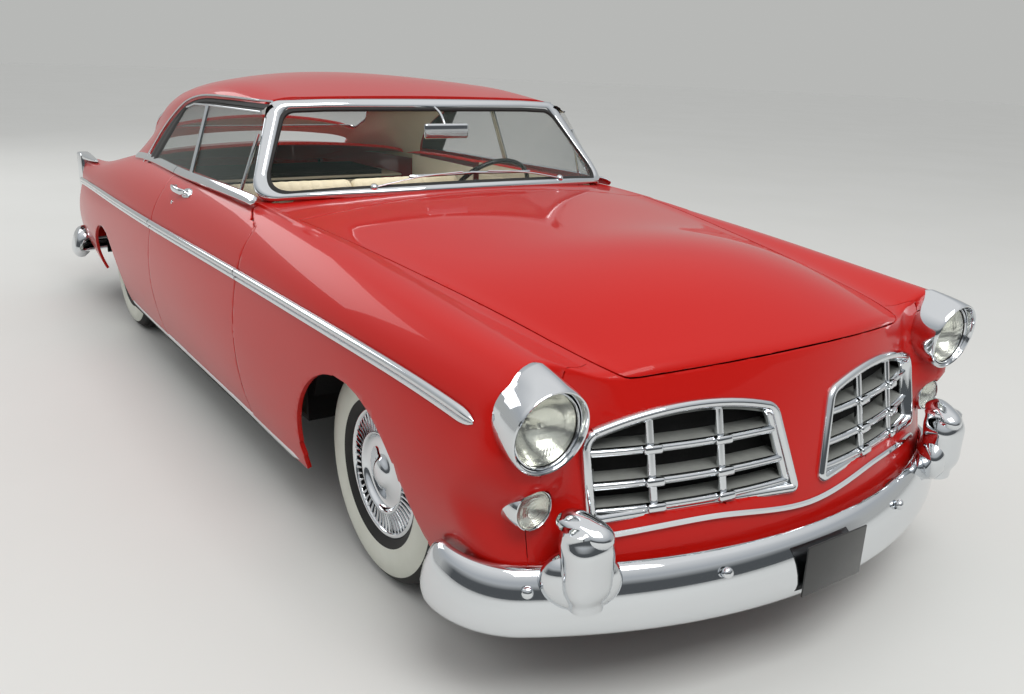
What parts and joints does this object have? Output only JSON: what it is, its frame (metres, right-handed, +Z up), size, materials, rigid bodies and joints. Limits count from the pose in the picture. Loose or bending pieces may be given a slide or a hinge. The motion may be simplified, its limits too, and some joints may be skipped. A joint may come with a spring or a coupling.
{
  "type": "two-door hardtop car",
  "caption": "Full-size 1950s two-door hardtop car with opening doors, hood and trunk, steered front wheels and free-rolling whitewall tyres.",
  "frame": {"origin": "on the ground, midway between the bumper faces and between the wheels", "axes": "+Z up, the car faces -Y, its left side is +X"},
  "size_m": [2.0216, 5.5598, 1.5271],
  "materials": {
    "body_paint": "glossy red enamel",
    "bright_trim": "polished chrome plate",
    "window_glass": "tinted safety glass",
    "lens_glass": "fluted clear glass",
    "red_lens": "red moulded lens",
    "plate_black": "blank black plate",
    "underbody": "matt black undercoat",
    "dark_steel": "black chassis paint",
    "cast_metal": "painted castings",
    "dash_paint": "painted steel dashboard",
    "seat_leather": "pleated cream leather",
    "wheel_plastic": "hard dark plastic rim",
    "wheel_metal": "bright wheel cover on steel rim",
    "tyre_rubber": "black rubber with a wide white sidewall"
  },
  "bodies": {
    "body": {"fender_left": "body_paint", "fender_right": "body_paint", "nose_panel": "body_paint", "cowl": "body_paint", "quarter_left": "body_paint", "quarter_right": "body_paint", "rear_deck": "body_paint", "roof": "body_paint", "windshield_frame": "bright_trim", "fixed_glass": "window_glass", "grille": "bright_trim", "lamp_shells": "bright_trim", "front_lenses": "lens_glass", "tail_lamps": "red_lens", "front_bumper": "bright_trim", "rear_bumper": "bright_trim", "plate": "plate_black", "floor_pan": "underbody", "front_aprons": "underbody", "chassis_frame": "dark_steel", "engine_block": "cast_metal", "rear_axle": "cast_metal", "exhaust": "dark_steel", "fuel_tank": "dark_steel", "dashboard": "dash_paint", "steering_column": "dark_steel", "front_seat": "seat_leather", "rear_seat": "seat_leather"},
    "hood": {"hood": "body_paint"},
    "trunk_lid": {"trunk_lid": "body_paint"},
    "door_left": {"door_left": "body_paint", "door_glass_left": "window_glass"},
    "door_right": {"door_right": "body_paint", "door_glass_right": "window_glass"},
    "steering_wheel": {"steering_wheel": "wheel_plastic"},
    "knuckle_left": {"knuckle_left": "cast_metal"},
    "knuckle_right": {"knuckle_right": "cast_metal"},
    "wheel_front_left": {"wheel_front_left": "wheel_metal", "tyre_front_left": "tyre_rubber"},
    "wheel_front_right": {"wheel_front_right": "wheel_metal", "tyre_front_right": "tyre_rubber"},
    "wheel_rear_left": {"wheel_rear_left": "wheel_metal", "tyre_rear_left": "tyre_rubber"},
    "wheel_rear_right": {"wheel_rear_right": "wheel_metal", "tyre_rear_right": "tyre_rubber"}
  },
  "joints": [
    {"name": "hood_hinge", "type": "hinge", "parent": "body", "child": "hood", "pos_m": [0, -1.018, 1.112], "axis": [-1, 0, 0], "range_deg": [0, 50]},
    {"name": "trunk_hinge", "type": "hinge", "parent": "body", "child": "trunk_lid", "pos_m": [0, 1.652, 1.052], "axis": [1, 0, 0], "range_deg": [0, 60]},
    {"name": "door_left_hinge", "type": "hinge", "parent": "body", "child": "door_left", "pos_m": [1.003, -0.849, 0.65], "axis": [0, 0, -1], "range_deg": [0, 65]},
    {"name": "door_right_hinge", "type": "hinge", "parent": "body", "child": "door_right", "pos_m": [-1.003, -0.849, 0.65], "axis": [0, 0, 1], "range_deg": [0, 65]},
    {"name": "steer_right", "type": "hinge", "parent": "body", "child": "knuckle_right", "pos_m": [-0.6645, -1.73, 0.366], "axis": [0, 0, 1], "range_deg": [-31, 31]},
    {"name": "steer_left", "type": "hinge", "parent": "body", "child": "knuckle_left", "pos_m": [0.6645, -1.73, 0.366], "axis": [0, 0, 1], "range_deg": [-31, 31]},
    {"name": "steering_turn", "type": "hinge", "parent": "body", "child": "steering_wheel", "pos_m": [0.39, -0.48, 0.93], "axis": [0, 0.8192, 0.5736], "range_deg": [-558, 558]},
    {"name": "spin_front_left", "type": "hinge", "parent": "knuckle_left", "child": "wheel_front_left", "pos_m": [0.7645, -1.73, 0.366], "axis": [1, 0, 0], "continuous": true},
    {"name": "spin_front_right", "type": "hinge", "parent": "knuckle_right", "child": "wheel_front_right", "pos_m": [-0.7645, -1.73, 0.366], "axis": [1, 0, 0], "continuous": true},
    {"name": "spin_rear_left", "type": "hinge", "parent": "body", "child": "wheel_rear_left", "pos_m": [0.757, 1.47, 0.366], "axis": [1, 0, 0], "continuous": true},
    {"name": "spin_rear_right", "type": "hinge", "parent": "body", "child": "wheel_rear_right", "pos_m": [-0.757, 1.47, 0.366], "axis": [1, 0, 0], "continuous": true}
  ],
  "couplings": [
    {"joint": "steer_left", "follows": "steer_right", "ratio": 1},
    {"joint": "steering_turn", "follows": "steer_right", "ratio": 17}
  ]
}
